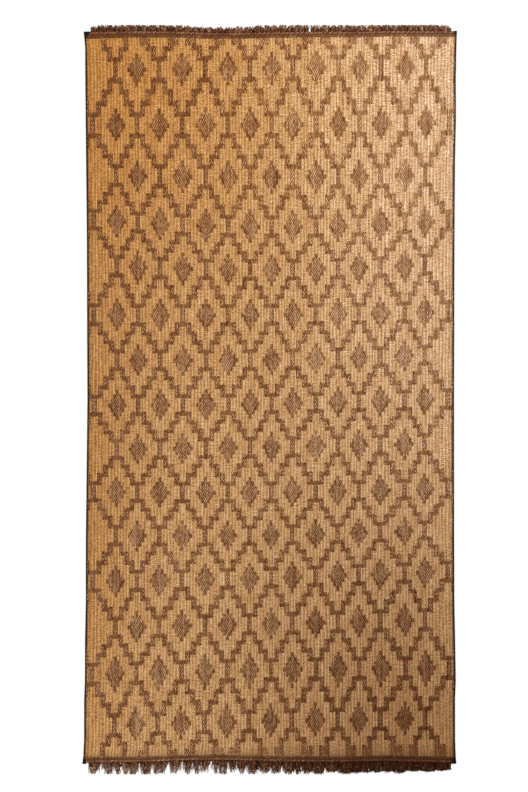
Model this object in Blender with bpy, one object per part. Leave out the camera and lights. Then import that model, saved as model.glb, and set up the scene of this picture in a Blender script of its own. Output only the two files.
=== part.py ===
"""Large floor mat of reed straws woven with leather strands, lying flat.

The straws lie across the mat, along X, and the leather strands run its length, along Y. A dark leather binding
closes each long side, a twined leather band closes each end, and the strands' free ends make a fringe past each
band. The origin is on the floor under the middle of the mat's outline. The head end is at +Y, the foot end at -Y.
"""

import math
import random

import bmesh
import bpy

MM = 0.001

# Clearance between neighbouring pieces, so that each one stays a body of its own.
GAP = 0.3 * MM

# Outer line of the two side bindings. The mat is drawn in at its waist and flares at its four corners.
# along: place on Y; left, right: distance of each side's outer line from the middle.
SIDE_LINE = (
    # along, left, right
    (2.644, 1.383, 1.400),
    (2.396, 1.382, 1.396),
    (2.096, 1.379, 1.397),
    (1.796, 1.376, 1.390),
    (1.196, 1.370, 1.386),
    (0.446, 1.368, 1.384),
    (0.000, 1.366, 1.383),
    (-0.454, 1.371, 1.383),
    (-1.054, 1.378, 1.384),
    (-1.504, 1.378, 1.385),
    (-1.804, 1.384, 1.391),
    (-2.104, 1.385, 1.396),
    (-2.254, 1.391, 1.390),
    (-2.554, 1.391, 1.391),
)

# Corners. tip: Y of the binding's end; outer, inner: Y of the end band's two long edges there;
# half: X distance of the corner; tab: width of the folded tab that the binding ends in.
CORNERS = {
    ("head", "left"): {"tip": 2.759, "outer": 2.758, "inner": 2.702, "half": 1.395, "tab": 0.050},
    ("head", "right"): {"tip": 2.764, "outer": 2.763, "inner": 2.718, "half": 1.405, "tab": 0.037},
    ("foot", "left"): {"tip": -2.731, "outer": -2.723, "inner": -2.678, "half": 1.405, "tab": 0.030},
    ("foot", "right"): {"tip": -2.730, "outer": -2.722, "inner": -2.672, "half": 1.401, "tab": 0.035},
}
END_SIGN = {"head": 1, "foot": -1}
SIDE_SIGN = {"left": -1, "right": 1}

# How far the middle of each end is drawn in towards the mat, against a straight line between its corners.
END_SAG = {"head": 0.006, "foot": 0.005}

BINDING_WIDTH = 13 * MM

# Section of a binding, folded over the straws' ends: place across it from the outer line, and height.
# Places in the first half are measured from the outer line, the others from the inner line.
BINDING_OUTER_SECTION = ((0.0, 0.0), (0.0, 3.2), (1.4, 5.6), (4.2, 6.6))
BINDING_INNER_SECTION = ((3.2, 6.5), (0.8, 5.6), (0.0, 4.4), (0.0, 0.0))

# Section of an end band, two twined rows with a groove between: share of its depth from outside, and height.
BAND_SECTION = (
    # share, height_mm
    (0.00, 0.0),
    (0.00, 4.2),
    (0.12, 6.0),
    (0.28, 6.4),
    (0.42, 5.4),
    (0.50, 4.6),
    (0.58, 5.4),
    (0.74, 6.2),
    (0.90, 5.8),
    (1.00, 4.8),
    (1.00, 0.0),
)
BAND_STATIONS = 16

# Woven panel. Its ribs stand for the leather strands, which are about 7 mm apart, and are fewer and wider than them:
# eight repeats of the pattern, of 32 ribs each, and two ribs past them on each side.
PATTERN_REPEATS = 8
RIBS_PER_REPEAT = 32
MARGIN_RIBS = 2
RIB_COUNT = PATTERN_REPEATS * RIBS_PER_REPEAT + 2 * MARGIN_RIBS
RIB_VALLEY_HEIGHT = 4.2 * MM
RIB_CREST_HEIGHT = 5.0 * MM
RIBS_PER_FLOOR_EDGE = 16

# Plain selvedge between the ribs and a binding, and the places where the ribs bend to follow the mat's waist.
SELVEDGE_WIDTH = 8 * MM
RIB_BENDS = (0.000, -1.504)

# At its ends the ribbed part is as wide as the mat is just before its corners flare.
END_BENDS = {"head": SIDE_LINE[0][0], "foot": SIDE_LINE[-1][0]}

# Fringe. span: X of its two ends; reach: distance on Y of its longest lock's tip; shortest: length of the shortest
# lock past the backing strip; seed: of the scatter in the locks' lengths and leans.
FRINGES = {
    "head": {"span": (-1.345, 1.366), "reach": 2.813, "shortest": 0.022, "seed": 11},
    "foot": {"span": (-1.360, 1.362), "reach": 2.813, "shortest": 0.038, "seed": 23},
}
LOCKS_PER_FRINGE = 128
BACKING_DEPTH = 6 * MM
LOCK_HEIGHT = 3.4 * MM
LOCK_ROOT_SHARE = 0.80
LOCK_LEAN = 6 * MM

# Rings along a lock: share of its length, share of its root width, share of its height, share of its lean.
LOCK_RINGS = (
    # along, width, height, lean
    (0.55, 0.72, 0.85, 0.35),
    (1.00, 0.34, 0.50, 1.00),
)

# Finishes: sRGB colour and roughness.
FINISHES = {
    "woven_reed": ((0.78, 0.61, 0.39), 0.60),
    "dark_leather": ((0.16, 0.11, 0.09), 0.50),
    "brown_leather": ((0.42, 0.27, 0.17), 0.62),
    "fringe_leather": ((0.36, 0.23, 0.15), 0.66),
}


def linear(channel):
    """Turn one sRGB channel into its linear value."""
    if channel <= 0.04045:
        return channel / 12.92
    return ((channel + 0.055) / 1.055) ** 2.4


def material(name):
    """Make or fetch the Principled material of a named finish."""
    found = bpy.data.materials.get(name)
    if found:
        return found
    colour, roughness = FINISHES[name]
    made = bpy.data.materials.new(name)
    made.use_nodes = True
    shader = made.node_tree.nodes["Principled BSDF"]
    shader.inputs["Base Color"].default_value = (*[linear(channel) for channel in colour], 1.0)
    shader.inputs["Roughness"].default_value = roughness
    shader.inputs["Metallic"].default_value = 0.0
    return made


def add_piece(name, points, faces, finish):
    """Make an object of the points and faces, with every face turned outwards."""
    mesh = bpy.data.meshes.new(name)
    shape = bmesh.new()
    corners = [shape.verts.new(point) for point in points]
    for face in faces:
        shape.faces.new([corners[index] for index in face])
    bmesh.ops.recalc_face_normals(shape, faces=shape.faces)
    shape.to_mesh(mesh)
    shape.free()
    piece = bpy.data.objects.new(name, mesh)
    bpy.context.scene.collection.objects.link(piece)
    mesh.materials.append(material(finish))
    return piece


def blend(start, end, share):
    """Value at a share of the way from start to end."""
    return start + (end - start) * share


def side_stations(side):
    """Stations of one side's outer line, head first, as (Y, distance from the middle)."""
    column = 1 if side == "left" else 2
    head = CORNERS["head", side]
    foot = CORNERS["foot", side]
    middle = [(row[0], row[column]) for row in SIDE_LINE]
    head_inner = (head["inner"], blend(head["half"], middle[0][1], 0.55))
    foot_inner = (foot["inner"], blend(foot["half"], middle[-1][1], 0.55))
    return [(head["tip"], head["half"]), head_inner, *middle, foot_inner, (foot["tip"], foot["half"])]


def distance_at(stations, along):
    """Distance from the middle of a side's outer line at one Y, read along its straight stretches."""
    for (high, first), (low, second) in zip(stations, stations[1:]):
        if low <= along <= high:
            return blend(second, first, (along - low) / (high - low))
    raise ValueError("no stretch of the side line holds this place")


def band_edge(end, edge, across):
    """Y of an end band's outer or inner edge at one X. Only the outer edge is drawn in at the middle."""
    left = CORNERS[end, "left"]
    right = CORNERS[end, "right"]
    share = (across + left["half"]) / (left["half"] + right["half"])
    straight = blend(left[edge], right[edge], share)
    if edge == "inner":
        return straight
    return straight - END_SIGN[end] * END_SAG[end] * 4 * share * (1 - share)


def make_binding(side):
    """Carry the folded leather section down one long side, widened into a tab at each corner."""
    sign = SIDE_SIGN[side]
    stations = side_stations(side)
    head = CORNERS["head", side]
    foot = CORNERS["foot", side]
    widths = [BINDING_WIDTH] * len(stations)
    widths[0] = head["tab"]
    widths[-1] = foot["tab"]
    points = []
    for (along, distance), width in zip(stations, widths):
        for inset, height in BINDING_OUTER_SECTION:
            points.append((sign * (distance - inset * MM), along, height * MM))
        for inset, height in BINDING_INNER_SECTION:
            points.append((sign * (distance - width + inset * MM), along, height * MM))
    section_size = len(BINDING_OUTER_SECTION) + len(BINDING_INNER_SECTION)
    faces = loft_faces(len(stations), section_size)
    return add_piece("binding_" + side, points, faces, "dark_leather")


def loft_faces(station_count, section_size):
    """Faces of a closed section carried along stations, with an end cap at each end."""
    faces = []
    for station in range(station_count - 1):
        for corner in range(section_size):
            following = (corner + 1) % section_size
            near = station * section_size
            far = near + section_size
            faces.append((near + corner, near + following, far + following, far + corner))
    last = (station_count - 1) * section_size
    faces.append(tuple(range(section_size)))
    faces.append(tuple(range(last, last + section_size)))
    return faces


def tab_line(end, side, along):
    """X of the inner line of a corner tab at one Y, between the band's inner edge and the binding's tip."""
    corner = CORNERS[end, side]
    stations = side_stations(side)
    inner_distance = distance_at(stations, corner["inner"]) - BINDING_WIDTH
    tip_distance = corner["half"] - corner["tab"]
    share = (along - corner["inner"]) / (corner["tip"] - corner["inner"])
    return SIDE_SIGN[side] * blend(inner_distance, tip_distance, share)


def make_end_band(end):
    """Carry the two-row section across one end, mitred at both ends against the bindings' corner tabs."""
    clear = END_SIGN[end] * GAP
    points = []
    for station in range(BAND_STATIONS + 1):
        share = station / BAND_STATIONS
        for depth_share, height in BAND_SECTION:
            ends = []
            for side in ("left", "right"):
                corner = CORNERS[end, side]
                along = blend(corner["outer"], corner["inner"] + clear, depth_share)
                ends.append(tab_line(end, side, along) - SIDE_SIGN[side] * 2 * GAP)
            across = blend(ends[0], ends[1], share)
            outer = band_edge(end, "outer", across)
            inner = band_edge(end, "inner", across) + clear
            points.append((across, blend(outer, inner, depth_share), height * MM))
    faces = loft_faces(BAND_STATIONS + 1, len(BAND_SECTION))
    return add_piece("end_band_" + end, points, faces, "brown_leather")


def panel_side_points(side):
    """Plan points of the woven panel's edge along one binding, head first, a gap inside it."""
    stations = side_stations(side)[1:-1]
    sign = SIDE_SIGN[side]
    inset = BINDING_WIDTH + GAP
    return [(sign * (distance - inset), along) for along, distance in stations]


def make_panel():
    """Build the woven panel: a flat underside, and a top of ribs that follow the mat's waist."""
    left_edge = panel_side_points("left")
    right_edge = panel_side_points("right")
    left_stations = side_stations("left")
    right_stations = side_stations("right")
    inset = BINDING_WIDTH + GAP + SELVEDGE_WIDTH
    rib_points = 2 * RIB_COUNT + 1
    points = []
    rows = []

    def add(point):
        points.append(point)
        return len(points) - 1

    # The ribs' rows: one at each end of the panel and one at each bend.
    for place in ("head", *RIB_BENDS, "foot"):
        row = []
        for index in range(rib_points):
            share = index / (rib_points - 1)
            bend = END_BENDS.get(place, place)
            left = inset - distance_at(left_stations, bend)
            right = distance_at(right_stations, bend) - inset
            across = blend(left, right, share)
            along = band_edge(place, "inner", across) if place in END_SIGN else place
            height = RIB_CREST_HEIGHT if index % 2 else RIB_VALLEY_HEIGHT
            row.append(add((across, along, height)))
        rows.append(row)

    left_top = [add((across, along, RIB_VALLEY_HEIGHT)) for across, along in left_edge]
    left_floor = [add((across, along, 0.0)) for across, along in left_edge]
    right_top = [add((across, along, RIB_VALLEY_HEIGHT)) for across, along in right_edge]
    right_floor = [add((across, along, 0.0)) for across, along in right_edge]

    faces = []
    for near, far in zip(rows, rows[1:]):
        for index in range(rib_points - 1):
            faces.append((near[index], near[index + 1], far[index + 1], far[index]))
    for top, floor, column in ((left_top, left_floor, 0), (right_top, right_floor, -1)):
        faces.append(tuple(top) + tuple(row[column] for row in reversed(rows)))
        for index in range(len(top) - 1):
            faces.append((top[index], top[index + 1], floor[index + 1], floor[index]))

    # End walls, in upright stretches of a few ribs each, and the floor edge that they share with the underside.
    floor_edges = []
    step = 2 * RIBS_PER_FLOOR_EDGE
    for row, end_index in ((rows[0], 0), (rows[-1], -1)):
        top_line = [left_top[end_index], *row, right_top[end_index]]
        stops = list(range(step, rib_points - step // 2, step))
        floor_line = [left_floor[end_index]]
        for stop in stops:
            across, along, height = points[top_line[stop]]
            floor_line.append(add((across, along, 0.0)))
        floor_line.append(right_floor[end_index])
        limits = [0, *stops, len(top_line) - 1]
        for index in range(len(floor_line) - 1):
            upper = top_line[limits[index]:limits[index + 1] + 1]
            faces.append((*upper, floor_line[index + 1], floor_line[index]))
        floor_edges.append(floor_line)
    head_floor, foot_floor = floor_edges
    faces.append((*head_floor, *right_floor[1:-1], *reversed(foot_floor), *reversed(left_floor[1:-1])))
    return add_piece("mat_panel", points, faces, "woven_reed")


def lock_shapes(end):
    """Length and lean of each lock: seeded, with a slow wave under the scatter, the longest at full reach."""
    chance = random.Random(FRINGES[end]["seed"])
    shares = []
    leans = []
    for index in range(LOCKS_PER_FRINGE):
        wave = 0.5 + 0.5 * math.sin(index / 9.0 + FRINGES[end]["seed"])
        shares.append(0.35 * wave + 0.65 * chance.random())
        leans.append(chance.uniform(-LOCK_LEAN, LOCK_LEAN))
    most = max(shares)
    return [share / most for share in shares], leans


def make_fringe(end):
    """Build one fringe: a narrow backing strip along the band, with three-sided locks grown out of its face.

    Each lock lies on the floor with a flat underside and a ridge on top, and tapers to its tip.
    """
    facts = FRINGES[end]
    start, finish = facts["span"]
    sign = END_SIGN[end]
    pitch = (finish - start) / LOCKS_PER_FRINGE
    root_width = pitch * LOCK_ROOT_SHARE
    shares, leans = lock_shapes(end)
    points = []
    faces = []

    def add(across, along, height):
        points.append((across, along, height))
        return len(points) - 1

    def face_line(across):
        return band_edge(end, "outer", across) + sign * (GAP + BACKING_DEPTH)

    inner_floor = []
    inner_top = []
    for station in range(BAND_STATIONS + 1):
        across = blend(start, finish - (pitch - root_width), station / BAND_STATIONS)
        along = band_edge(end, "outer", across) + sign * GAP
        inner_floor.append(add(across, along, 0.0))
        inner_top.append(add(across, along, LOCK_HEIGHT))

    roots = []
    for index in range(LOCKS_PER_FRINGE):
        left = start + index * pitch
        right = left + root_width
        ridge = (left + right) / 2
        ring = (
            add(left, face_line(left), 0.0),
            add(right, face_line(right), 0.0),
            add(ridge, face_line(ridge), LOCK_HEIGHT),
        )
        roots.append(ring)
        longest = sign * (facts["reach"] - sign * face_line(ridge))
        length = blend(sign * facts["shortest"], longest, shares[index])
        for along_share, width_share, height_share, lean_share in LOCK_RINGS:
            centre = ridge + leans[index] * lean_share
            half = root_width * width_share / 2
            reach = face_line(ridge) + length * along_share
            tip = (
                add(centre - half, reach, 0.0),
                add(centre + half, reach, 0.0),
                add(centre, reach, LOCK_HEIGHT * height_share),
            )
            for corner in range(3):
                following = (corner + 1) % 3
                faces.append((ring[corner], ring[following], tip[following], tip[corner]))
            ring = tip
        faces.append(ring)

    for before, after in zip(roots, roots[1:]):
        faces.append((before[1], after[0], after[2], before[2]))
    for index in range(BAND_STATIONS):
        faces.append((inner_floor[index], inner_floor[index + 1], inner_top[index + 1], inner_top[index]))
    faces.append((inner_floor[0], inner_top[0], roots[0][2], roots[0][0]))
    faces.append((inner_floor[-1], inner_top[-1], roots[-1][2], roots[-1][1]))
    faces.append((*inner_top, *[ring[2] for ring in reversed(roots)]))
    floor_face = []
    for ring in reversed(roots):
        floor_face += [ring[1], ring[0]]
    faces.append((*inner_floor, *floor_face))
    return add_piece("fringe_" + end, points, faces, "fringe_leather")


def main():
    """Clear the scene and build the seven pieces."""
    for old in list(bpy.data.objects):
        bpy.data.objects.remove(old)
    make_panel()
    for side in SIDE_SIGN:
        make_binding(side)
    for end in END_SIGN:
        make_end_band(end)
        make_fringe(end)


main()
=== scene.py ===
"""Finish of the large floor mat of reed straws woven with leather strands.

The CAD model gives the mat's outline, its bindings, bands and fringes as solids. Here each of them is
replaced by a finer piece: a straw ground, the leather strands that float over it in a stepped diamond
lattice, laced bindings with folded corner tabs, twined end bands, and fringes of loose leather ends.
"""
import math

import bpy
import numpy as np
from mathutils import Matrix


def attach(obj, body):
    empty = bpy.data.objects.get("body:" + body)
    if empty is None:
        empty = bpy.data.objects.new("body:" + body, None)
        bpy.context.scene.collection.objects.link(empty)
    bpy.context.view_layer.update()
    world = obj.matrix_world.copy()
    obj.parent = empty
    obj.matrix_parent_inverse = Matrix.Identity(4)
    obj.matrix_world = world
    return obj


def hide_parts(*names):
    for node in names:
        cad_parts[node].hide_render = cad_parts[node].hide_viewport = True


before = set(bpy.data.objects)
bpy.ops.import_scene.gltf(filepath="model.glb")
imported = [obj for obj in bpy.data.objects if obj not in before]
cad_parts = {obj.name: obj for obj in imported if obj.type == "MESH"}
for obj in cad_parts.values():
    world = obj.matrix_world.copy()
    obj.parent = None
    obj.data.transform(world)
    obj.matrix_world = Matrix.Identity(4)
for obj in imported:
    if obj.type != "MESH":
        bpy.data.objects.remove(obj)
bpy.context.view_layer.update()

bl_info = {
    "name": "Reed and leather floor mat",
    "version": (1, 0, 0),
    "blender": (4, 5, 0),
    "location": "3D View > Sidebar > Mat",
    "description": "Weaves, binds and fringes a large reed and leather floor mat on its CAD frame",
    "category": "Add Mesh",
}

MM = 0.001
BODY = "root"

# Places on the mat are read along it (Y, head end positive) and across it (X, right positive).
END_SIGN = {"head": 1, "foot": -1}
SIDE_SIGN = {"left": -1, "right": 1}

# Outer line of the two side bindings, foot end first: place along the mat, distance of each side from the
# middle.
SIDE_LINE = np.array((
    # along, left, right
    (-2.554, 1.391, 1.391),
    (-2.254, 1.391, 1.390),
    (-2.104, 1.385, 1.396),
    (-1.804, 1.384, 1.391),
    (-1.504, 1.378, 1.385),
    (-1.054, 1.378, 1.384),
    (-0.454, 1.371, 1.383),
    (0.000, 1.366, 1.383),
    (0.446, 1.368, 1.384),
    (1.196, 1.370, 1.386),
    (1.796, 1.376, 1.390),
    (2.096, 1.379, 1.397),
    (2.396, 1.382, 1.396),
    (2.644, 1.383, 1.400),
))

# Corners. tip: Y of the binding's end; outer, inner: Y of the end band's two long edges there;
# half: X distance of the corner; tab: width of the folded tab that the binding ends in.
CORNERS = {
    ("head", "left"): {"tip": 2.759, "outer": 2.758, "inner": 2.702, "half": 1.395, "tab": 0.050},
    ("head", "right"): {"tip": 2.764, "outer": 2.763, "inner": 2.718, "half": 1.405, "tab": 0.024},
    ("foot", "left"): {"tip": -2.731, "outer": -2.723, "inner": -2.678, "half": 1.405, "tab": 0.030},
    ("foot", "right"): {"tip": -2.730, "outer": -2.722, "inner": -2.672, "half": 1.401, "tab": 0.041},
}
END_SAG = {"head": 0.006, "foot": 0.005}

# How far each end band wavers towards the head end against those lines, as it was pulled by hand: X, and
# millimetres.
BAND_WAVER = {
    "head": (
        (-1.38, 0), (-1.05, 9), (-0.67, 7), (-0.45, -3), (-0.20, -3), (0.08, 2), (0.45, 4), (0.66, 1),
        (0.88, 7), (1.13, 4), (1.39, 0),
    ),
    "foot": (
        (-1.38, -2), (-0.88, 2), (-0.67, 11), (-0.40, 15), (-0.15, 8), (0.15, 1), (0.45, -1), (0.68, 2),
        (0.88, 7), (1.10, 1), (1.39, -4),
    ),
}
BINDING_WIDTH = 13 * MM

# The weave. Diamonds and lattice repeat every 48 strands; a repeat's two halves are 24 strands each.
REPEATS = 8
HALF_REPEAT = 24
MARGIN = 5
STRANDS = 2 * HALF_REPEAT * REPEATS + 2 * MARGIN + 1

# Places across the mat where the half repeats fall, as a share of its width, left to right: woven by eye,
# so uneven.
HALF_REPEAT_SHARES = (
    0.016, 0.079, 0.136, 0.197, 0.259, 0.323, 0.384, 0.444, 0.503,
    0.560, 0.625, 0.685, 0.742, 0.800, 0.869, 0.922, 0.986,
)

# Rows of diamonds, head end first. left, middle, right: Y of the row at the mat's left edge, middle and
# right edge; height: of its diamonds, as a share of the chart's. The first and last line are rows past
# the mat's two ends, which only set how the weave is spaced there.
DIAMOND_ROWS = np.array((
    # left, middle, right, height
    (2.850, 2.870, 2.875, 1.0),
    (2.470, 2.485, 2.495, 0.9),
    (2.055, 2.060, 2.080, 0.9),
    (1.685, 1.670, 1.690, 0.95),
    (1.355, 1.295, 1.345, 1.05),
    (1.015, 0.975, 1.030, 1.05),
    (0.635, 0.635, 0.660, 1.0),
    (0.300, 0.300, 0.345, 1.0),
    (-0.045, -0.030, 0.005, 1.0),
    (-0.375, -0.355, -0.325, 1.0),
    (-0.690, -0.695, -0.665, 1.0),
    (-1.015, -1.015, -0.970, 1.0),
    (-1.365, -1.335, -1.285, 1.0),
    (-1.715, -1.680, -1.645, 1.0),
    (-2.060, -2.025, -2.010, 1.05),
    (-2.450, -2.410, -2.390, 1.0),
    (-2.795, -2.755, -2.735, 1.0),
))
LAST_ROW = len(DIAMOND_ROWS) - 3
STEPS_PER_ROW = 10
FINE_PER_STEP = 5
CROSSING_SLANT = 1.8

# How far the weave runs past its first and last row of diamonds, in steps. Past the places where the
# motif stops stepping it stays at one step of the chart, and in the first repeat on the left at the step
# before that one.
FIRST_STEP = -6.5
LAST_STEP = 8.5
HEAD_STOP = (-4.5, -6)
FOOT_STOP = (5.5, 6)
EARLY_STRANDS = MARGIN + 1.9 * HALF_REPEAT

# Chart of the motif by steps from a diamond's middle: half width of the diamond, and the lattice's near
# and far edge, all in strands from the diamond's middle strand. Past the fifth step it runs back to the
# next row's diamond.
CHART = (
    # diamond, lattice_near, lattice_far
    (10.5, 21.5, 24.5),
    (7.5, 21.5, 24.5),
    (4.5, 15.5, 24.5),
    (1.5, 15.5, 20.5),
    (-1.0, 9.5, 20.5),
    (-1.0, 9.5, 14.5),
)

GROUND_HEIGHT = 4.4 * MM
RIB_RISE = 0.35 * MM
STRANDS_PER_RIB = HALF_REPEAT / 7
STRAND_RISE = 1.3 * MM
STRAND_DIP = 0.5 * MM
STRAND_SINK = 0.4 * MM
STRAND_TUCK = 0.65
STRAND_ARCH = 0.7 * MM

# Nearest that a strand's stations, and the places where a straw crosses it, come to its run's ends, in
# fine rows.
STATION_CLEAR = 0.7
CROSSING_CLEAR = 0.9

# Rhombus inside which a diamond is hatched: its half width at the middle in strands, and how much less at
# each step.
HATCH_HALF = 7.5
HATCH_SLOPE = 2.3

# How far the straw ground, the strands and the fringes run on under an end band.
GROUND_TUCK = 4 * MM
STRANDS_TUCK = 12 * MM
FRINGE_TUCK = 5 * MM

# Heights of a binding: over its middle, at its inner edge and at its outer edge.
BINDING_HEIGHT = 6.0 * MM
BINDING_INNER_HEIGHT = 3.6 * MM
BINDING_LIP = 0.8 * MM

# Farthest from the middle that a fringe's end reaches, and how far in from a fringe's two sides its roots
# start.
FRINGE_LIMIT = 2.809
ROOT_INSET = 7 * MM

# Section of a band's backing: share of its depth from outside, and height in millimetres.
BAND_PROFILE = np.array((
    (0.0, 0.0), (0.0, 2.6), (0.05, 3.6), (0.46, 3.2), (0.5, 2.4), (0.54, 3.2), (0.95, 4.4), (1.0, 4.6),
    (1.0, 0.0),
))

# Floor and camera: half the floor's width, the camera's place, and the length of floor that it takes in.
FLOOR_REACH = 30.0
CAMERA_PLACE = (-0.042, 0.027, 14.0)
VIEW_LENGTH = 5.94


def linear(code):
    """Linear RGBA of an sRGB hex colour."""
    channels = [int(code[place:place + 2], 16) / 255 for place in (0, 2, 4)]
    return (*[c / 12.92 if c <= 0.04045 else ((c + 0.055) / 1.055) ** 2.4 for c in channels], 1.0)


def add_node(tree, kind, inputs=None, **settings):
    """Add a shader node: settings go on the node, inputs are values, or sockets to link from."""
    made = tree.nodes.new("ShaderNode" + kind)
    for name, value in settings.items():
        setattr(made, name, value)
    for name, value in (inputs or {}).items():
        if isinstance(value, bpy.types.NodeSocket):
            tree.links.new(value, made.inputs[name])
        else:
            made.inputs[name].default_value = value
    return made


def new_material(name, roughness, ior, gloss):
    """Start a Principled material: it, its tree and its shader. gloss: 0.5 is all that the IOR gives."""
    made = bpy.data.materials.new(name)
    made.use_nodes = True
    tree = made.node_tree
    shader = tree.nodes["Principled BSDF"]
    shader.inputs["Roughness"].default_value = roughness
    shader.inputs["IOR"].default_value = ior
    shader.inputs["Specular IOR Level"].default_value = gloss
    return made, tree, shader


def maths(tree, operation, *values):
    """Add a Math node and give back its result."""
    return add_node(tree, "Math", dict(enumerate(values)), operation=operation).outputs[0]


def ramp_colour(tree, value, stops):
    """Colour of a value on a ramp of (place, hex colour) stops."""
    made = add_node(tree, "ValToRGB", {0: value})
    elements = made.color_ramp.elements
    while len(elements) < len(stops):
        elements.new(0.5)
    for element, (place, code) in zip(elements, stops):
        element.position = place
        element.color = linear(code)
    return made.outputs[0]


def multiply_colours(tree, first, second):
    """Multiply two colours and give back the result."""
    mix = add_node(
        tree, "Mix", {"Factor": 1.0, 6: first, 7: second}, data_type="RGBA", blend_type="MULTIPLY"
    )
    return mix.outputs[2]


def side_distance(side, along):
    """Distance of a side's outer line from the middle at places along the mat, flared at its corners."""
    column = 1 if side == "left" else 2
    head = CORNERS["head", side]
    foot = CORNERS["foot", side]
    line = SIDE_LINE[:, column]
    places = [foot["tip"], foot["inner"], *SIDE_LINE[:, 0], head["inner"], head["tip"]]
    foot_inner = line[0] + 0.45 * (foot["half"] - line[0])
    head_inner = line[-1] + 0.45 * (head["half"] - line[-1])
    return np.interp(along, places, [foot["half"], foot_inner, *line, head_inner, head["half"]])


def band_edge(end, edge, across):
    """Y of an end band's edge: straight between corners plus its waver, the outer one drawn in a little."""
    left = CORNERS[end, "left"]
    right = CORNERS[end, "right"]
    share = (across + left["half"]) / (left["half"] + right["half"])
    waver = np.interp(across, *np.array(BAND_WAVER[end]).T) * MM
    straight = left[edge] + (right[edge] - left[edge]) * share + waver
    if edge == "inner":
        return straight
    return straight - END_SIGN[end] * END_SAG[end] * 4 * share * (1 - share)


def smooth_through(values, wanted):
    """Cubic curve through values at places 0, 1, 2 and on, each slope the mean of its neighbours'."""
    slopes = np.gradient(values)
    first = np.clip(np.floor(wanted).astype(int), 0, len(values) - 2)
    t = wanted - first
    inside = np.clip(t, 0.0, 1.0)
    outside = t - inside
    start, stop = values[first], values[first + 1]
    rise, fall = slopes[first], slopes[first + 1]
    cubic = (
        (2 * inside**3 - 3 * inside**2 + 1) * start
        + (inside**3 - 2 * inside**2 + inside) * rise
        + (-2 * inside**3 + 3 * inside**2) * stop
        + (inside**3 - inside**2) * fall
    )
    return cubic + outside * np.where(outside < 0, rise, fall)


def weave_place(strand, step):
    """X and Y of points of the weave, given in strands from the left edge and steps from the first row.

    Y is a parabola through the row's left, middle and right places. X is the share of the way between the
    two bindings, through the uneven places of the half repeats.
    """
    knots = [0, *(MARGIN + 0.5 + HALF_REPEAT * np.arange(2 * REPEATS + 1)), STRANDS]
    share = np.interp(strand, knots, [0, *HALF_REPEAT_SHARES, 1])
    row = step / STEPS_PER_ROW + 1
    at_left, middle, at_right = [smooth_through(column, row) for column in DIAMOND_ROWS.T[:3]]
    signed = 2 * share - 1
    along = middle + (at_right - at_left) / 2 * signed + ((at_right + at_left) / 2 - middle) * signed**2
    left = BINDING_WIDTH * 0.75 - side_distance("left", along)
    right = side_distance("right", along) - BINDING_WIDTH * 0.75
    return left + (right - left) * share, along


def ground_height(strand):
    """Height of the straw ground: a row of low ribs, each a raised cosine, seven to a half repeat."""
    return GROUND_HEIGHT + RIB_RISE * 0.5 * (1 - np.cos(2 * np.pi * strand / STRANDS_PER_RIB))


def motif(strand, step):
    """Whether a diamond's or the lattice's leather shows at strands and steps, and whether it is solid.

    The nearest row of diamonds is found, then the nearest diamond's middle in it, and the chart is read
    by the distances from there. A diamond is solid round a rhombus, so at its points and stepped rim, and
    the lattice is solid where its strokes cross.
    """
    past_foot = step - STEPS_PER_ROW * LAST_ROW
    early = strand < EARLY_STRANDS
    stopped = (step < HEAD_STOP[0]) | (past_foot > FOOT_STOP[0])
    step = np.where(step < HEAD_STOP[0], HEAD_STOP[1] + early, step)
    step = np.where(past_foot > FOOT_STOP[0], FOOT_STOP[1] - early + STEPS_PER_ROW * LAST_ROW, step)
    row = np.clip(np.round(step / STEPS_PER_ROW), 0, LAST_ROW).astype(int)
    rise = np.abs(step - row * STEPS_PER_ROW)
    tall = rise / DIAMOND_ROWS[row + 1, 3]
    past_middle = rise > STEPS_PER_ROW / 2 + 0.5
    rise = np.where(past_middle, STEPS_PER_ROW - rise, rise)
    odd = (row + past_middle) % 2
    place = strand - MARGIN - odd * HALF_REPEAT
    away = np.abs((place + HALF_REPEAT) % (2 * HALF_REPEAT) - HALF_REPEAT)
    half, near, far = np.array(CHART).T
    level = np.clip(np.round(rise), 0, len(CHART) - 1).astype(int)
    tall_level = np.clip(np.round(tall), 0, len(CHART) - 1).astype(int)
    border = MARGIN + HALF_REPEAT / 2
    at_edge = (odd == 0) & ((strand < border) | (strand > STRANDS - border))
    diamond = (away <= half[tall_level]) & ~at_edge & ~past_middle
    lattice = (away >= near[level]) & (away <= far[level])
    rim = diamond & ((tall_level == 3) | (away > HATCH_HALF - HATCH_SLOPE * tall))
    crossing = lattice & (level % 2 == 0) & (level > 0) & (np.abs(away - (9 - level) * 3) <= 3) & ~stopped
    return diamond, lattice, rim | crossing


def put(name, data):
    """Make an object of the data and put it in the scene."""
    made = bpy.data.objects.new(name, data)
    bpy.context.scene.collection.objects.link(made)
    return made


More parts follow.
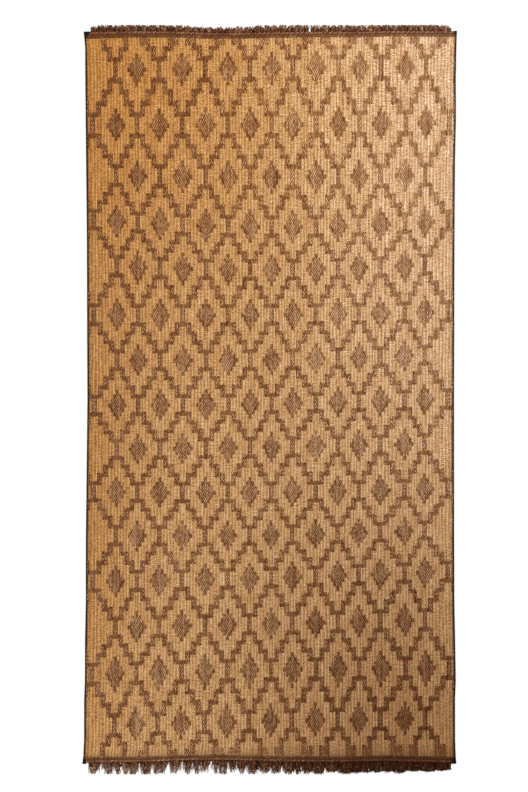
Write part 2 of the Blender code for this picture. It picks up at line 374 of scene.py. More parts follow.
def add_piece(name, points, faces, material, bake=None, weave=None, *, tone, shade=None):
    """Make a smooth mesh of faces: a list of arrays of point numbers, one for each number of corners.

    bake: two coordinates of each face corner for a baked texture, from 0 to 1. weave: the same in
    strands and steps. shade: a value of each point between 0 and 1, and tone: a colour of each point,
    which the material reads.
    """
    mesh = bpy.data.meshes.new(name)
    corners = np.concatenate([group.ravel() for group in faces])
    sizes = np.concatenate([np.full(len(group), group.shape[1]) for group in faces])
    mesh.vertices.add(len(points))
    mesh.vertices.foreach_set("co", np.asarray(points, np.float32).ravel())
    mesh.loops.add(len(corners))
    mesh.loops.foreach_set("vertex_index", corners.astype(np.int32))
    mesh.polygons.add(len(sizes))
    mesh.polygons.foreach_set("loop_start", (np.cumsum(sizes) - sizes).astype(np.int32))
    mesh.polygons.foreach_set("use_smooth", np.ones(len(sizes), bool))
    mesh.update(calc_edges=True)
    mesh.validate()
    for layer, values in (("OFBake", bake), ("weave", weave)):
        if values is not None:
            uv = mesh.uv_layers.new(name=layer)
            uv.data.foreach_set("uv", np.asarray(values, np.float32).ravel())
    if shade is not None:
        shades = mesh.attributes.new("shade", "FLOAT", "POINT")
        shades.data.foreach_set("value", np.asarray(shade, np.float32))
    tones = mesh.attributes.new("tone", "FLOAT_COLOR", "POINT")
    tones.data.foreach_set("color", tone.ravel().astype(np.float32))
    mesh.materials.append(material)
    made = put(name, mesh)
    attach(made, BODY)
    return made


def grid_faces(rows, columns, closed=False, first=0):
    """Four-cornered faces of a grid of points, row by row; a closed one joins each row into a ring."""
    across = np.arange(columns if closed else columns - 1)
    following = (across + 1) % columns
    start = first + columns * np.arange(rows - 1)[:, None]
    upper = start + columns
    ring = np.stack([start + across, start + following, upper + following, upper + across], -1)
    return ring.reshape(-1, 4)


def loft(rings, flipped):
    """Points and faces of a closed section carried along stations, with its two ends capped."""
    stations, size = rings.shape[:2]
    walls = grid_faces(stations, size, closed=True)
    caps = np.stack([np.arange(size)[::-1], np.arange(size) + (stations - 1) * size])
    way = -1 if flipped else 1
    return rings.reshape(-1, 3), [walls[:, ::way], caps[:, ::way]]


def tubes(paths, radii, sides):
    """Closed tubes carried along many paths at once, with a rounded section flattened to the radii given.

    paths: tube, station, xyz. radii: tube, station, (across, up). A ring's point is the path's point,
    plus the level direction across the path times the cosine and the upright times the sine, each times
    its radius.
    """
    count, stations = paths.shape[:2]
    heading = np.gradient(paths[:, :, :2], axis=1)
    heading /= np.linalg.norm(heading, axis=2, keepdims=True) + 1e-12
    across = np.stack([-heading[..., 1], heading[..., 0], np.zeros_like(heading[..., 0])], -1)
    turn = 2 * np.pi * np.arange(sides) / sides + np.pi / sides
    ring = (
        paths[:, :, None]
        + across[:, :, None] * (radii[..., 0, None] * np.cos(turn))[..., None]
        + np.array((0, 0, 1.0)) * (radii[..., 1, None] * np.sin(turn))[..., None]
    )
    size = stations * sides
    one = grid_faces(stations, sides, closed=True)
    offsets = (np.arange(count) * size)[:, None, None]
    walls = (one[None] + offsets).reshape(-1, 4)[:, ::-1]
    caps = np.stack([np.arange(sides), np.arange(sides)[::-1] + size - sides])
    caps = (caps[None] + offsets).reshape(-1, sides)
    return ring.reshape(-1, 3), [walls, caps]


def flat_bake(points, faces):
    """Bake coordinates straight down onto a rectangle: upward faces low in it, others at its top."""
    low = points[:, :2].min(0)
    high = points[:, :2].max(0)
    share = (points[:, :2] - low) / (high - low)
    result = []
    for group in faces:
        a, b, c = points[group[:, 0]], points[group[:, 1]], points[group[:, 2]]
        up = np.cross(b - a, c - b)[:, 2] > 0
        value = share[group].copy()
        value[..., 1] = np.where(up[:, None], value[..., 1] * 0.88, 0.9 + 0.1 * value[..., 1])
        result.append(value.reshape(-1, 2))
    return np.clip(np.concatenate(result), 0.0, 1.0)


def straw_material():
    """Split reed straws, dried and laid side by side, with leather ties that show as dots in lines.

    Dry reed is matt with a faint gloss, pale gold, and no two straws are the same. Real straws are a few
    millimetres thick. They are drawn about 10 mm thick, and lines of ties 24 mm apart, so that they show.
    """
    made, tree, shader = new_material("dried_reed_straw", 0.62, 1.5, 0.25)
    uv = add_node(tree, "UVMap", uv_map="weave")
    parts = add_node(tree, "SeparateXYZ", {0: uv.outputs[0]})
    strand, step = parts.outputs[0], parts.outputs[1]

    def cloud(across, along, detail=2.0):
        """Noise with this many cells a strand across the mat and a step along it, about 0 in its middle."""
        cells = (across, along, 1.0)
        stretched = add_node(tree, "VectorMath", {0: uv.outputs[0], 1: cells}, operation="MULTIPLY")
        noise = add_node(tree, "TexNoise", {"Vector": stretched.outputs[0], "Scale": 1.0, "Detail": detail})
        return maths(tree, "SUBTRACT", noise.outputs[0], 0.5)

    # Lines of ties between the ribs, and a painted highlight along the ribs' crests between them.
    wander = maths(tree, "MULTIPLY_ADD", cloud(0.10, 0.12), 3.0, strand)
    line = maths(tree, "COSINE", maths(tree, "MULTIPLY", wander, 2 * math.pi / STRANDS_PER_RIB))
    column = maths(tree, "FLOOR", maths(tree, "MULTIPLY_ADD", wander, 1 / STRANDS_PER_RIB, 0.5))
    chance = add_node(tree, "TexWhiteNoise", {"W": column}, noise_dimensions="1D").outputs[0]
    beat = maths(tree, "MULTIPLY_ADD", chance, 2 * math.pi, step)
    dot = maths(tree, "SINE", maths(tree, "MULTIPLY_ADD", step, 2 * math.pi * 2.1, beat))
    dotted = add_node(tree, "MapRange", {"Value": dot, "From Min": -0.3, "To Min": 0.02, "To Max": 0.31})
    groove = add_node(tree, "MapRange", {"Value": line, "From Min": -0.2, "From Max": 1.0})
    tied = maths(tree, "MULTIPLY", groove.outputs[0], dotted.outputs[0])
    # Painted highlight along each rib's crest, stronger on some lines than others.
    crest = add_node(tree, "MapRange", {"Value": line, "From Min": 0.0, "From Max": -1.0})
    crest = maths(tree, "POWER", crest.outputs[0], 1.6)
    crest_highlight = maths(tree, "MULTIPLY", crest, maths(tree, "MULTIPLY_ADD", chance, 0.20, 0.07))

    # Long streaks, single straws and specks.
    streak = maths(tree, "MULTIPLY_ADD", cloud(0.85, 0.25), 0.72, 0.51)
    straws = maths(tree, "MULTIPLY_ADD", cloud(0.20, 2.4), 0.75, streak)
    shade = maths(tree, "MULTIPLY_ADD", cloud(1.15, 4.6), 1.9, straws)
    darker = maths(tree, "SUBTRACT", maths(tree, "ADD", shade, crest_highlight), tied)
    straw = ((0.0, "6A3E1A"), (0.25, "9A6836"), (0.5, "C2945E"), (0.75, "DEB482"), (1.0, "F8DBB2"))
    patches = cloud(0.13, 0.30, 3.0)
    riper = add_node(tree, "MapRange", {"Value": patches, "From Min": -0.25, "From Max": 0.25})
    ripeness = ramp_colour(tree, riper.outputs[0], ((0.0, "FFFFFF"), (0.5, "FAF7F3"), (1.0, "F0E2CE")))
    ripened = multiply_colours(tree, ramp_colour(tree, darker, straw), ripeness)
    tone = add_node(tree, "Attribute", attribute_name="tone").outputs["Color"]
    tree.links.new(multiply_colours(tree, ripened, tone), shader.inputs["Base Color"])
    bump = add_node(tree, "Bump", {"Strength": 0.5, "Distance": 0.8 * MM, "Height": darker})
    tree.links.new(bump.outputs[0], shader.inputs["Normal"])
    return made


def leather_material(name, stops, roughness, grain=6.0, bump_height=0.3, mottle=0.7):
    """Vegetable tanned goat leather, cut in thongs or strips and rubbed by hand.

    The point attribute "shade" says how light each thong is, and "tone" tints it by its place on the mat.
    mottle says how much the grain lightens and darkens it. Grain pores are finer than a millimetre and
    would not show, so the grain here is drawn at the millimetres given. Hide is matt and scatters nearly
    all its light, with a low gloss where it is worn.
    """
    made, tree, shader = new_material(name, roughness, 1.45, 0.12)
    patchiness = 0.25
    sheen_spread = 0.12
    place = add_node(tree, "TexCoord").outputs["Object"]
    shade = add_node(tree, "Attribute", attribute_name="shade").outputs["Fac"]
    tone = add_node(tree, "Attribute", attribute_name="tone").outputs["Color"]
    pores, patch = [
        add_node(tree, "TexNoise", {"Vector": place, "Scale": scale, "Detail": 3.0}).outputs[0]
        for scale in (1 / (grain * MM), 7.0)
    ]
    mixed = maths(tree, "MULTIPLY_ADD", pores, mottle, shade)
    worn = maths(tree, "MULTIPLY_ADD", patch, patchiness, mixed)
    centred = maths(tree, "SUBTRACT", worn, (mottle + patchiness) / 2)
    colour = multiply_colours(tree, ramp_colour(tree, centred, stops), tone)
    tree.links.new(colour, shader.inputs["Base Color"])
    dull = add_node(tree, "MapRange", {
        "Value": pores, "To Min": roughness - sheen_spread, "To Max": roughness + sheen_spread,
    })
    tree.links.new(dull.outputs[0], shader.inputs["Roughness"])
    bump = add_node(tree, "Bump", {"Strength": 0.6, "Distance": bump_height * MM, "Height": pores})
    tree.links.new(bump.outputs[0], shader.inputs["Normal"])
    return made


# Places where straw and leather have faded or darkened. at: the middle of each, X and Y; reach: how far
# it goes each way before it has lost two thirds of its strength; straw, leather: what their red, green
# and blue are multiplied by.
WASHES = (
    # bleached by the sun at the head's right corner
    {"at": (1.4, 2.8), "reach": (1.0, 3.0), "straw": (1.32, 1.5, 2.1), "leather": (1.65, 2.0, 2.7)},
    # faded along the head
    {"at": (0.0, 2.8), "reach": (1.2, 2.0), "straw": (1.1, 1.08, 0.98), "leather": (1.23, 1.17, 1.0)},
    # greased by hands at the head's left corner
    {"at": (-1.4, 2.6), "reach": (1.4, 2.2), "straw": (0.9, 0.7, 0.36), "leather": (0.8, 0.68, 0.56)},
    # darkened down the left side
    {"at": (-1.5, -1.0), "reach": (0.55, 2.6), "straw": (0.8, 0.66, 0.42), "leather": (0.8, 0.75, 0.75)},
    # soiled at the foot's right corner
    {"at": (1.05, -2.9), "reach": (1.35, 2.0), "straw": (0.53, 0.45, 0.36), "leather": (0.4, 0.3, 0.2)},
)

# Painted shade on the straw next to a binding, where the raised binding would shade it: how far in it has
# lost two thirds of its strength, and what it takes off the straw's red, green and blue.
BINDING_SHADE_REACH = 8 * MM
BINDING_SHADE = np.array((0.62, 0.66, 0.72))

# Powers that the washes' darkening of the foot's end band and fringe is raised to.
BAND_SOILING = 1.15
FRINGE_SOILING = 1.6


def tone_of(kind, points):
    """Colour that straw or leather is multiplied by at points.

    Each wash counts by e to the power of minus the squares of the distances from its middle as shares of
    its reach. Straw next to the bindings also gets painted shade of the bindings, less by e to the power of
    minus the distance.
    """
    tone = np.ones((len(points), 4))
    for wash in WASHES:
        away = (points[:, :2] - wash["at"]) / wash["reach"]
        near = np.exp(-(away**2).sum(1))
        tone[:, :3] *= 1 + near[:, None] * (np.array(wash[kind]) - 1)
    # Painted shade: straw darkened next to each binding, as if shaded by the raised binding.
    if kind == "straw":
        left = side_distance("left", points[:, 1]) + points[:, 0]
        right = side_distance("right", points[:, 1]) - points[:, 0]
        edge = np.minimum(left, right) - BINDING_WIDTH
        tone[:, :3] *= 1 - np.exp(-np.maximum(edge, 0) / BINDING_SHADE_REACH)[:, None] * BINDING_SHADE
    return tone


def end_tone(end, points, soiling):
    """Colour of an end's leather: faded half as much at the head, soiled to a power at the foot."""
    return tone_of("leather", points) ** (0.5 if end == "head" else soiling)


class MatSizes(bpy.types.PropertyGroup):
    """Sizes of the mat that a user would change."""

    lacing_pitch: bpy.props.FloatProperty(
        name="Lacing pitch", description="Distance between stitches of the side lacing",
        default=0.030, unit="LENGTH",
    )
    twine_pitch: bpy.props.FloatProperty(
        name="Twine pitch", description="Length of one full twist in an end band",
        default=0.036, unit="LENGTH",
    )


class MatColours(bpy.types.PropertyGroup):
    """Colours of the mat and its floor that a user would change."""

    floor: bpy.props.StringProperty(name="Floor", description="Floor colour as sRGB hex", default="FCFCFB")
    world: bpy.props.FloatProperty(
        name="Sky light", description="Strength of the even light from all round", default=0.83, min=0.0
    )
    sun: bpy.props.FloatProperty(
        name="Key light", description="Strength of the soft light from one side", default=1.2, min=0.0
    )


class MAT_OT_straw_ground(bpy.types.Operator):
    """Lay the ground of reed straws that every strand floats over"""

    bl_idname = "mat.straw_ground"
    bl_label = "Straw ground"

    def execute(self, context):
        rows = 46
        strand = np.linspace(0, STRANDS, round(4 * STRANDS / STRANDS_PER_RIB) + 1)
        step = np.linspace(FIRST_STEP, STEPS_PER_ROW * LAST_ROW + LAST_STEP, rows)
        strands, steps = np.meshgrid(strand, step)
        across, along = weave_place(strands.ravel(), steps.ravel())
        head_edge = band_edge("head", "inner", across) + GROUND_TUCK
        foot_edge = band_edge("foot", "inner", across) - GROUND_TUCK
        along = np.clip(along, foot_edge, head_edge)
        top = np.stack([across, along, ground_height(strands.ravel())], 1)
        under = top * (1, 1, 0)
        columns = len(strand)
        size = len(top)
        top_faces = grid_faces(rows, columns)[:, ::-1]
        under_faces = grid_faces(rows, columns, first=size)
        border = np.concatenate([
            np.arange(columns),
            columns * np.arange(1, rows) + columns - 1,
            (rows - 1) * columns + np.arange(columns - 2, -1, -1),
            columns * np.arange(rows - 2, 0, -1),
        ])
        following = np.roll(border, -1)
        walls = np.stack([border, following, following + size, border + size], 1)
        points = np.concatenate([top, under])
        faces = [top_faces, under_faces, walls]
        share = np.stack([strands.ravel() / STRANDS, (step[-1] - steps.ravel()) / (step[-1] - step[0])], 1)
        upper = share * (1.0, 0.86)
        lower = share * (1.0, 0.1) + (0.0, 0.89)
        bake = np.concatenate([
            upper[top_faces.ravel()],
            lower[under_faces.ravel() - size],
            np.concatenate([upper, upper])[walls.ravel()],
        ])
        place = np.stack([strands.ravel(), steps.ravel()], 1)
        weave = np.concatenate([place, place])[np.concatenate([group.ravel() for group in faces])]
        ground = add_piece(
            "straw_ground", points, faces, straw_material(), bake, weave,
            tone=tone_of("straw", points),
        )
        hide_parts("mat_panel")
        return {"FINISHED"}


def crossing_slant(chance, strand, step):
    """How far in fine rows a strand's crossings lie off those of its motif's middle strand.

    Straws cross each strand a little under half a round after the strand beside it, which draws slanting
    lines. Each motif has its own: slanting up, slanting down, or both as a point up or down.
    """
    column = np.round((strand - MARGIN) / HALF_REPEAT).astype(int)
    row = np.round(step / STEPS_PER_ROW).astype(int)
    away = strand - MARGIN - HALF_REPEAT * column
    way = chance.integers(0, 4, (2 * REPEATS + 3, LAST_ROW + 4))[column + 1, row + 1]
    return np.choose(way, (away, -away, np.abs(away), -np.abs(away))) * CROSSING_SLANT


def strand_piece(name, leather, woven, material, seed):
    """Leather strands as closed ribbons, one for each run of a strand over the straws.

    leather and woven are tables by strand and fine row: where leather shows, and where straws may cross
    it. A run has a station at each end and at every second fine row between, plus the crossings' slant,
    by turns up over the straws and down where a straw crosses. It stays up near its ends and where it
    isn't woven. A station is a low arch of four points, and the end ones lie a little further on, under
    the straws. Bleached leather is nearer in shade to the crossings.
    """
    chance = np.random.default_rng(seed)
    change = np.diff(np.pad(leather, ((0, 0), (1, 1))).astype(np.int8), axis=1)
    strand, start = np.nonzero(change == 1)
    stop = np.nonzero(change == -1)[1]
    slant = crossing_slant(chance, strand, FIRST_STEP + (start + stop) / 2 / FINE_PER_STEP)
    turn = np.ceil((start + STATION_CLEAR - slant) / 2)
    counts = np.maximum(np.floor((stop - STATION_CLEAR - slant) / 2) - turn + 1, 0).astype(int)
    offset = np.array((-0.5, -0.26, 0.26, 0.5))
    arch = np.array((0.0, 1.0, 1.0, 0.0)) * STRAND_ARCH
    points, walls, caps, shades = [], [], [], []
    first = 0
    for inner in np.unique(counts):
        which = counts == inner
        n, a, b = strand[which][:, None], start[which][:, None], stop[which][:, None]
        turns = turn[which][:, None] + np.arange(inner)
        rows = np.concatenate([a - STRAND_TUCK, 2 * turns + slant[which][:, None], b + STRAND_TUCK], 1)
        odd = np.pad(turns % 2 == 1, ((0, 0), (1, 1)))
        count, stations = rows.shape
        clear = woven[n, np.clip(np.floor(rows).astype(int), a, b - 1)]
        down = odd & clear & (rows > a + CROSSING_CLEAR) & (rows < b - CROSSING_CLEAR)
        height = np.where(down, STRAND_DIP, STRAND_RISE) * chance.uniform(0.9, 1.1, (count, 1)) - STRAND_ARCH
        height[:, (0, -1)] = -STRAND_SINK - STRAND_ARCH
        height = height[..., None] + arch + ground_height(n + 0.5)[..., None]
        spread = (n[..., None] + 0.5 + offset) * np.ones_like(height)
        step = (FIRST_STEP + rows / FINE_PER_STEP)[..., None] * np.ones_like(height)
        across, along = weave_place(spread.ravel(), step.ravel())
        points.append(np.stack([across, along, height.ravel()], 1))
        bleach = np.maximum(tone_of("leather", points[-1][::4])[:, 1].reshape(rows.shape) - 1.25, 0)
        lighter = chance.uniform(0.66, 1.22, rows.shape) / (1 + bleach)
        shade = np.where(clear, 0.08 + 0.10 * bleach, 0.42) + np.where(down, lighter, 0.0)
        shade += chance.normal(0, 0.08, (count, 1)) + chance.normal(0, np.where(clear, 0.08, 0.12))
        shades.append(np.repeat(shade.ravel(), 4))
        size = 4 * stations
        base = first + size * np.arange(count)[:, None, None]
        walls.append((grid_faces(stations, 4, closed=True)[:, ::-1][None] + base).reshape(-1, 4))
        both = np.stack([np.arange(4), size - 1 - np.arange(4)])
        caps.append((both[None] + base).reshape(-1, 4))
        first += size * count
    points = np.concatenate(points)
    faces = [np.concatenate(walls + caps)]
    add_piece(
        name, points, faces, material, flat_bake(points, faces),
        tone=tone_of("leather", points), shade=np.concatenate(shades),
    )


class MAT_OT_leather_strands(bpy.types.Operator):
    """Float the leather strands over the straws in the stepped diamond lattice"""

    bl_idname = "mat.leather_strands"
    bl_label = "Leather strands"

    def execute(self, context):
        thong = leather_material(
            "goat_leather_thong",
            (
                (0.0, "4A2208"), (0.2, "6B3F1C"), (0.4, "875A34"),
                (0.65, "A1734C"), (0.9, "C4966A"), (1.0, "E0B68E"),
            ),
            0.6,
        )
        strand = np.arange(STRANDS)[:, None]
        fine = np.arange(int((STEPS_PER_ROW * LAST_ROW + LAST_STEP - FIRST_STEP) * FINE_PER_STEP))[None, :]
        strands, steps = np.broadcast_arrays(strand, FIRST_STEP + (fine + 0.5) / FINE_PER_STEP)
        diamond, lattice, solid = motif(strands, steps)
        across, along = weave_place(strands.ravel() + 0.5, steps.ravel())
        below_head = along < band_edge("head", "inner", across) + STRANDS_TUCK
        above_foot = along > band_edge("foot", "inner", across) - STRANDS_TUCK
        inside = below_head & above_foot
        leather = (diamond | lattice) & inside.reshape(diamond.shape)
        woven = leather & np.roll(leather, 1, 0) & np.roll(leather, -1, 0) & ~solid
        groups = (
            ("leather_diamonds", diamond),
            ("leather_lattice_left", lattice & (strands < STRANDS / 2)),
            ("leather_lattice_right", lattice & (strands > STRANDS / 2)),
        )
        for seed, (name, part) in enumerate(groups):
            strand_piece(name, leather & part, woven, thong, seed)
        return {"FINISHED"}


class MAT_OT_bindings(bpy.types.Operator):
    """Fold the dark leather bindings over both long sides, with their corner tabs and lacing"""

    bl_idname = "mat.bindings"
    bl_label = "Bindings"

    def execute(self, context):
        hide = leather_material(
            "waxed_black_leather",
            ((0.0, "100804"), (0.3, "1C100A"), (0.55, "281A12"), (0.8, "3C2A20"), (1.0, "604838")),
            0.7, grain=9.0, bump_height=0.5,
        )
        lace = leather_material(
            "lacing_leather",
            ((0.0, "2A1A10"), (0.5, "5A3A22"), (1.0, "8A6240")),
            0.55, grain=5.0,
        )
        for side, sign in SIDE_SIGN.items():
            chance = np.random.default_rng(41 + sign)
            head, foot = CORNERS["head", side], CORNERS["foot", side]
            along = np.concatenate([
                np.linspace(foot["tip"], foot["inner"], 9)[:-1],
                np.linspace(foot["inner"], head["inner"], 240)[:-1],
                np.linspace(head["inner"], head["tip"], 9),
            ])
            outer = side_distance(side, along)
            places = [foot["tip"], foot["inner"], head["inner"], head["tip"]]
            width = np.interp(along, places, [foot["tab"], BINDING_WIDTH, BINDING_WIDTH, head["tab"]])
            knots = np.linspace(along[0], along[-1], 70)
            waver = np.interp(along, knots, chance.normal(0, 0.5, len(knots))) * MM
            swell = 1 + np.interp(along, knots, chance.normal(0, 0.06, len(knots)))
            turn = np.linspace(0, np.pi, 9)
            bulge = np.sin(turn) ** 0.45
            share = (1 - np.cos(turn)) / 2
            inset = share[None] * (width + waver)[:, None]
            height = bulge[None] * (BINDING_HEIGHT * swell)[:, None]
            height[:, -1] = BINDING_INNER_HEIGHT
            inset = np.concatenate([inset, inset[:, -1:], inset[:, :1]], 1)
            height = np.concatenate([height, np.zeros((len(along), 2))], 1)
            height[:, 0] = BINDING_LIP
            across = sign * (outer[:, None] - inset)
            rings = np.stack([across, np.broadcast_to(along[:, None], across.shape), height], -1)
            points, faces = loft(rings, flipped=sign < 0)
            shade = 0.45 + np.interp(along, knots, chance.normal(0, 0.12, len(knots)))
            made = add_piece(
                "binding_leather_" + side, points, faces, hide,
                tone=tone_of("leather", points), shade=np.repeat(shade, rings.shape[1]),
            )
            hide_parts("binding_" + side)

            # Whip stitches: each thong climbs out of the straws inside the binding and goes over its top.
            pitch = context.scene.mat_sizes.lacing_pitch
            stitch = np.arange(foot["inner"] + 0.03, head["inner"] - 0.03, pitch)
            stitch = stitch + chance.uniform(-0.15, 0.15, len(stitch)) * pitch
            t = np.linspace(0, 1, 5)
            edge = side_distance(side, stitch)
            reach = BINDING_WIDTH + 4 * MM
            x = sign * (edge[:, None] - reach + t[None] * (reach - 2.5 * MM))
            y = stitch[:, None] + (t[None] - 0.5) * 9 * MM * sign
            z = np.broadcast_to((4.4 + 2.9 * np.sin(np.pi * (0.12 + 0.76 * t)))[None] * MM, x.shape)
            paths = np.stack([x, y, z], -1)
            radii = np.broadcast_to(np.array((2.2, 0.7)) * MM, (*x.shape, 2))
            points, faces = tubes(paths, radii, 4)
            shade = np.repeat(chance.uniform(0.15, 0.6, len(stitch)), 4 * len(t))
            add_piece(
                "lacing_" + side, points, faces, lace,
                tone=tone_of("leather", points), shade=shade,
            )
        return {"FINISHED"}


# Twined rows of an end band: share of its depth from outside, swing as a share of it, shade of each of
# its two strands; the paler one carries a painted highlight on each twist.
TWINED_ROWS = {
    "head": ((0.23, 0.10, 0.62, 0.42), (0.76, 0.13, 0.50, 0.38)),
    "foot": ((0.26, 0.08, 0.68, 0.52), (0.74, 0.14, 0.52, 0.42)),
}


def tab_line(end, side, place):
    """X of a corner tab's inner line at a share of the band's depth from outside, read between its ends."""
    corner = CORNERS[end, side]
    inner = side_distance(side, corner["inner"]) - BINDING_WIDTH
    tip = corner["half"] - corner["tab"]
    return SIDE_SIGN[side] * (tip + (inner - tip) * place)


class MAT_OT_end_bands(bpy.types.Operator):
    """Twine the two rows of leather that close each end"""

    bl_idname = "mat.end_bands"
    bl_label = "End bands"

    def execute(self, context):
        base = leather_material(
            "end_band_backing",
            ((0.0, "3A200E"), (0.5, "683E1E"), (1.0, "8A5E38")),
            0.65,
        )
        twine = leather_material(
            "twined_leather",
            ((0.0, "381A0A"), (0.25, "5A3420"), (0.5, "744B30"), (0.8, "9C7050"), (1.0, "D0A684")),
            0.6, grain=7.0, mottle=1.4,
        )
        pitch = context.scene.mat_sizes.twine_pitch
        for number, (end, sign) in enumerate(END_SIGN.items()):
            chance = np.random.default_rng(60 + number)
            left, right = [SIDE_SIGN[side] * (CORNERS[end, side]["half"] - 9 * MM) for side in SIDE_SIGN]
            across = np.linspace(left, right, 240)
            outer = band_edge(end, "outer", across)
            inner = band_edge(end, "inner", across)
            along = outer[:, None] + (inner - outer)[:, None] * BAND_PROFILE[None, :, 0]
            height = np.broadcast_to(BAND_PROFILE[None, :, 1] * MM, along.shape)
            rings = np.stack([np.broadcast_to(across[:, None], along.shape), along, height], -1)
            points, faces = loft(rings, flipped=sign > 0)
            made = add_piece(
                "band_backing_" + end, points, faces, base,
                tone=end_tone(end, points, BAND_SOILING), shade=np.full(len(points), 0.45),
            )
            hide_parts("end_band_" + end)

            # Each row is two strands wound round each other: a flattened helix, half a turn apart.
            paths = []
            shades = []
            for place, swing, *tones in TWINED_ROWS[end]:
                left, right = [tab_line(end, side, place) - SIDE_SIGN[side] * 3 * MM for side in SIDE_SIGN]
                across = np.linspace(left, right, 480)
                outer = band_edge(end, "outer", across)
                inner = band_edge(end, "inner", across)
                middle = outer + (inner - outer) * place
                depth = np.abs(inner - outer)
                drift = np.cumsum(chance.normal(0, 0.05, len(across)))
                # The two strands differ in shade, so the paler one shows as a painted highlight on each
                # twist.
                for half, tone in zip((0, np.pi), tones):
                    turn = 2 * np.pi * across / pitch + drift + half
                    y = middle + depth * swing * np.sin(turn)
                    z = (4.6 + 1.3 * np.cos(turn)) * MM
                    paths.append(np.stack([across, y, z], -1))
                    waver = np.interp(across, np.linspace(left, right, 90), chance.normal(0, 0.1, 90))
                    shades.append(tone + waver)
            paths = np.array(paths)
            radii = np.empty((*paths.shape[:2], 2))
            radii[:] = np.array((5.6, 1.5)) * MM
            points, faces = tubes(paths, radii, 6)
            shade = np.repeat(np.array(shades).ravel(), 6)
            add_piece(
                "twined_rows_" + end, points, faces, twine, flat_bake(points, faces),
                tone=end_tone(end, points, BAND_SOILING), shade=shade,
            )
        return {"FINISHED"}


# Fringes. span: X of the two ends. reach: X, and length in mm there of the longest layer. clump: mean
# width of a tuft in metres. pull: X, and how far ends there lean to their tuft's middle, from 0 to 1.
# sway: how far tufts lean aside, in metres. gaps: X and half width of places with no ends. bump: how much
# shorter a tuft is at its two sides than in its middle, as a share. layers: one line each, the lowest
# first.
FRINGES = {
    "head": {
        "span": (-1.345, 1.366),
        "reach": (
            (-1.34, 30), (-1.28, 44), (-1.03, 50), (-0.74, 46), (-0.45, 37), (-0.20, 41), (0.08, 52),
            (0.40, 46), (0.65, 46), (0.92, 48), (1.16, 53), (1.30, 42), (1.36, 26),
        ),
        "clump": 0.062, "pull": ((-1.4, 0.15), (1.4, 0.18)), "sway": 0.006, "gaps": ((0.300, 0.007),),
        "seed": 11, "bump": 0.20,
        "layers": (
            # ends, width_mm, share_of_reach, spread, curl_mm, turns, shade
            (640, 11.0, 0.84, 0.10, 2.0, 0.8, 0.24),
            (640, 6.5, 0.96, 0.16, 3.5, 1.5, 0.34),
            (760, 3.6, 1.02, 0.22, 4.5, 2.0, 0.52),
        ),
    },
    "foot": {
        "span": (-1.360, 1.362),
        "reach": (
            (-1.36, 62), (-1.28, 82), (-1.16, 92), (-0.40, 90), (0.00, 86), (0.50, 84), (0.90, 76),
            (1.10, 68), (1.30, 64), (1.36, 56),
        ),
        "clump": 0.080, "pull": ((-1.4, 0.66), (-0.4, 0.52), (0.0, 0.26), (0.5, 0.06), (1.4, 0.0)),
        "sway": 0.020, "gaps": (), "seed": 23, "bump": 0.12,
        "layers": (
            (600, 14.0, 0.98, 0.07, 2.5, 0.8, 0.24),
            (620, 5.0, 0.98, 0.11, 5.0, 1.3, 0.42),
            (860, 2.4, 1.00, 0.16, 7.0, 1.7, 0.62),
        ),
    },
}


def tuft_shares(chance, root, width, sway):
    """Tip of each root's tuft, the tuft's length as a share, and how far out in it the root is."""
    edges = root[0] + np.cumsum(width * chance.uniform(0.55, 1.45, int(2 * (root[-1] - root[0]) / width)))
    edges = np.concatenate([[root[0] - width / 4], edges])
    index = np.clip(np.searchsorted(edges, root) - 1, 0, len(edges) - 2)
    middle = (edges[index] + edges[index + 1]) / 2
    tip = middle + chance.normal(0, sway, len(edges))[index]
    tall = 1 + chance.normal(0, 0.08, len(edges))[index]
    return tip, tall, np.abs(root - middle) / (edges[index + 1] - middle)


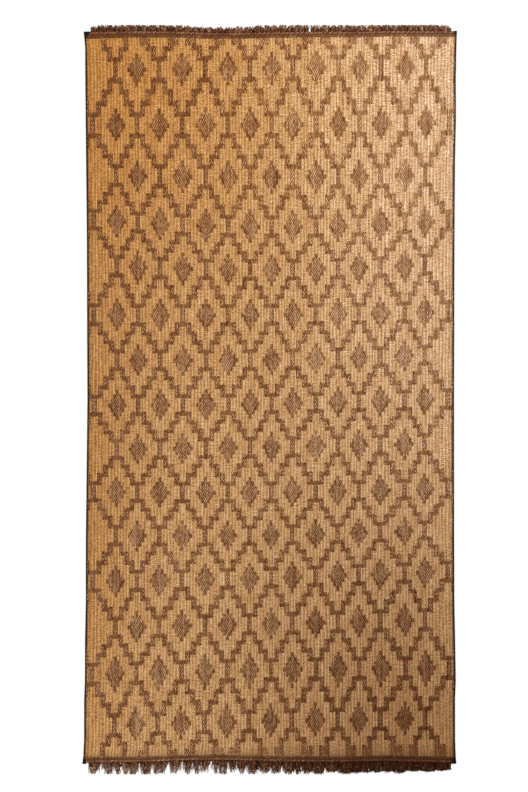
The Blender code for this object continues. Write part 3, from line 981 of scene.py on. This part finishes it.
class MAT_OT_fringes(bpy.types.Operator):
    """Lay out the loose leather ends past each band"""

    bl_idname = "mat.fringes"
    bl_label = "Fringes"

    def execute(self, context):
        material = leather_material(
            "fringe_leather",
            ((0.0, "1E0C04"), (0.2, "43200E"), (0.45, "663B20"), (0.75, "926444"), (1.0, "C8A486")),
            0.8, grain=16.0, mottle=1.6,
        )
        for end, sign in END_SIGN.items():
            facts = FRINGES[end]
            chance = np.random.default_rng(facts["seed"])
            start, finish = facts["span"]
            t = np.linspace(0, 1, 9)
            all_points, all_faces, shades = [], [[], []], []
            first = 0
            for level, (count, width, share, spread, curl, turns, light) in enumerate(facts["layers"]):
                root = np.linspace(start + ROOT_INSET, finish - ROOT_INSET, count)
                root = np.sort(root + chance.uniform(-4, 4, count) * MM)
                for gap, half in facts["gaps"]:
                    root = root[np.abs(root - gap) > half + 0.3 * width * MM]
                count = len(root)
                same_tufts = np.random.default_rng(facts["seed"])
                tip, tall, out = tuft_shares(same_tufts, root, facts["clump"], facts["sway"])
                lean = np.interp(root, *np.array(facts["pull"]).T)
                reach = np.interp(root, *np.array(facts["reach"]).T) * MM * share * tall
                if level == 0:
                    reach *= 1 - lean
                uneven = 1 + spread * (0.4 + lean) * chance.normal(0, 1, count)
                length = reach * (1.06 - (facts["bump"] + 0.6 * lean) * out**2) * uneven
                edge = band_edge(end, "outer", root)
                length = np.minimum(length, FRINGE_LIMIT - np.abs(edge))
                phase = chance.uniform(0, 2 * np.pi, (count, 1))
                turn = 2 * np.pi * turns * chance.uniform(0.6, 1.3, (count, 1)) * t + phase
                swing = curl * MM * chance.uniform(0.3, 1.3, (count, 1)) * t**0.7
                stray = chance.normal(0, 1, count) * (4 + 11 * lean) * MM
                pull = lean * (1 - 0.25 * level) * (tip - root) + stray
                x = np.clip(root[:, None] + pull[:, None] * t**1.3 + swing * np.sin(turn), start, finish)
                base = edge - sign * FRINGE_TUCK
                whole = length[:, None] + FRINGE_TUCK
                forward = t + 0.5 * swing / whole * np.cos(turn)
                y = base[:, None] + sign * whole * forward
                lift = 1.2 + 1.4 * level + chance.uniform(0, 1.4, (count, 1))
                z = MM * (lift * (1 - 0.5 * t) + (0.4 + 0.7 * level) * np.sin(turn * 1.3 + 1) * t)
                paths = np.stack([x, y, np.maximum(z, 0.9 * MM)], -1)
                wide = width / 2 * MM * chance.uniform(0.75, 1.25, (count, 1)) * (1 - 0.15 * t**2)
                thick = np.broadcast_to(0.7 * MM * (1 - 0.4 * t), wide.shape)
                points, faces = tubes(paths, np.stack([wide, thick], -1), 4)
                all_points.append(points)
                for kept, group in zip(all_faces, faces):
                    kept.append(group + first)
                first += len(points)
                # Painted shade: each end is darker towards its tuft's sides, where the tufts meet.
                shade = light + chance.normal(0, 0.20, (count, 1)) - 0.22 * out[:, None] ** 2 + 0.10 * t
                # Painted shade: each end is darker near its root, where it goes under the band.
                shades.append(np.repeat((shade - 0.22 * (1 - t) ** 6).ravel(), 4))
            points = np.concatenate(all_points)
            faces = [np.concatenate(kept) for kept in all_faces]
            made = add_piece(
                "fringe_ends_" + end, points, faces, material, flat_bake(points, faces),
                tone=end_tone(end, points, FRINGE_SOILING), shade=np.concatenate(shades),
            )
            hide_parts("fringe_" + end)
        return {"FINISHED"}


class MAT_OT_stage(bpy.types.Operator):
    """Set out the plain pale floor, the soft light and the camera straight above"""

    bl_idname = "mat.stage"
    bl_label = "Floor, light and camera"

    def execute(self, context):
        colours = context.scene.mat_colours
        mesh = bpy.data.meshes.new("floor")
        corners = [(FLOOR_REACH * x, FLOOR_REACH * y, 0) for x, y in ((-1, -1), (1, -1), (1, 1), (-1, 1))]
        mesh.from_pydata(corners, [], [(0, 1, 2, 3)])
        made, _, shader = new_material("matt_white_floor", 0.9, 1.45, 0.0)
        shader.inputs["Base Color"].default_value = linear(colours.floor)
        mesh.materials.append(made)
        floor = put("floor", mesh)

        world = bpy.data.worlds.new("soft_sky")
        world.use_nodes = True
        background = world.node_tree.nodes["Background"]
        background.inputs["Color"].default_value = (1.0, 1.0, 1.0, 1.0)
        background.inputs["Strength"].default_value = colours.world
        context.scene.world = world

        sun = bpy.data.lights.new("soft_key", "SUN")
        sun.energy = colours.sun
        sun.angle = math.radians(12)
        lamp = put("soft_key", sun)
        lamp.rotation_euler = (math.radians(-38), math.radians(-32), 0)

        # Straight above, from far enough that nothing leans.
        lens = bpy.data.cameras.new("camera_above")
        lens.sensor_width = 36
        lens.lens = lens.sensor_width * CAMERA_PLACE[2] / VIEW_LENGTH
        lens.clip_end = 200
        camera = put("camera_above", lens)
        camera.location = CAMERA_PLACE
        context.scene.camera = camera
        context.scene.view_settings.view_transform = "Standard"
        context.scene.view_settings.look = "None"
        return {"FINISHED"}


OPERATORS = (
    MAT_OT_straw_ground, MAT_OT_leather_strands, MAT_OT_bindings,
    MAT_OT_end_bands, MAT_OT_fringes, MAT_OT_stage,
)


class MAT_PT_sidebar(bpy.types.Panel):
    """Lists the mat's pieces in the order they are made"""

    bl_idname = "MAT_PT_sidebar"
    bl_label = "Mat"
    bl_space_type = "VIEW_3D"
    bl_region_type = "UI"
    bl_category = "Mat"

    def draw(self, context):
        for operator in OPERATORS:
            self.layout.operator(operator.bl_idname)
        for group in (context.scene.mat_sizes, context.scene.mat_colours):
            for name in group.__annotations__:
                self.layout.prop(group, name)


CLASSES = (MatSizes, MatColours, *OPERATORS, MAT_PT_sidebar)


def register():
    """Register the classes and hang the property groups on the scene."""
    for item in CLASSES:
        bpy.utils.register_class(item)
    bpy.types.Scene.mat_sizes = bpy.props.PointerProperty(type=MatSizes)
    bpy.types.Scene.mat_colours = bpy.props.PointerProperty(type=MatColours)


def unregister():
    """Take the property groups and classes away again."""
    del bpy.types.Scene.mat_colours
    del bpy.types.Scene.mat_sizes
    for item in reversed(CLASSES):
        bpy.utils.unregister_class(item)


def main():
    register()
    for operator in OPERATORS:
        category, name = operator.bl_idname.split(".")
        getattr(getattr(bpy.ops, category), name)()


if __name__ == "__main__":
    main()
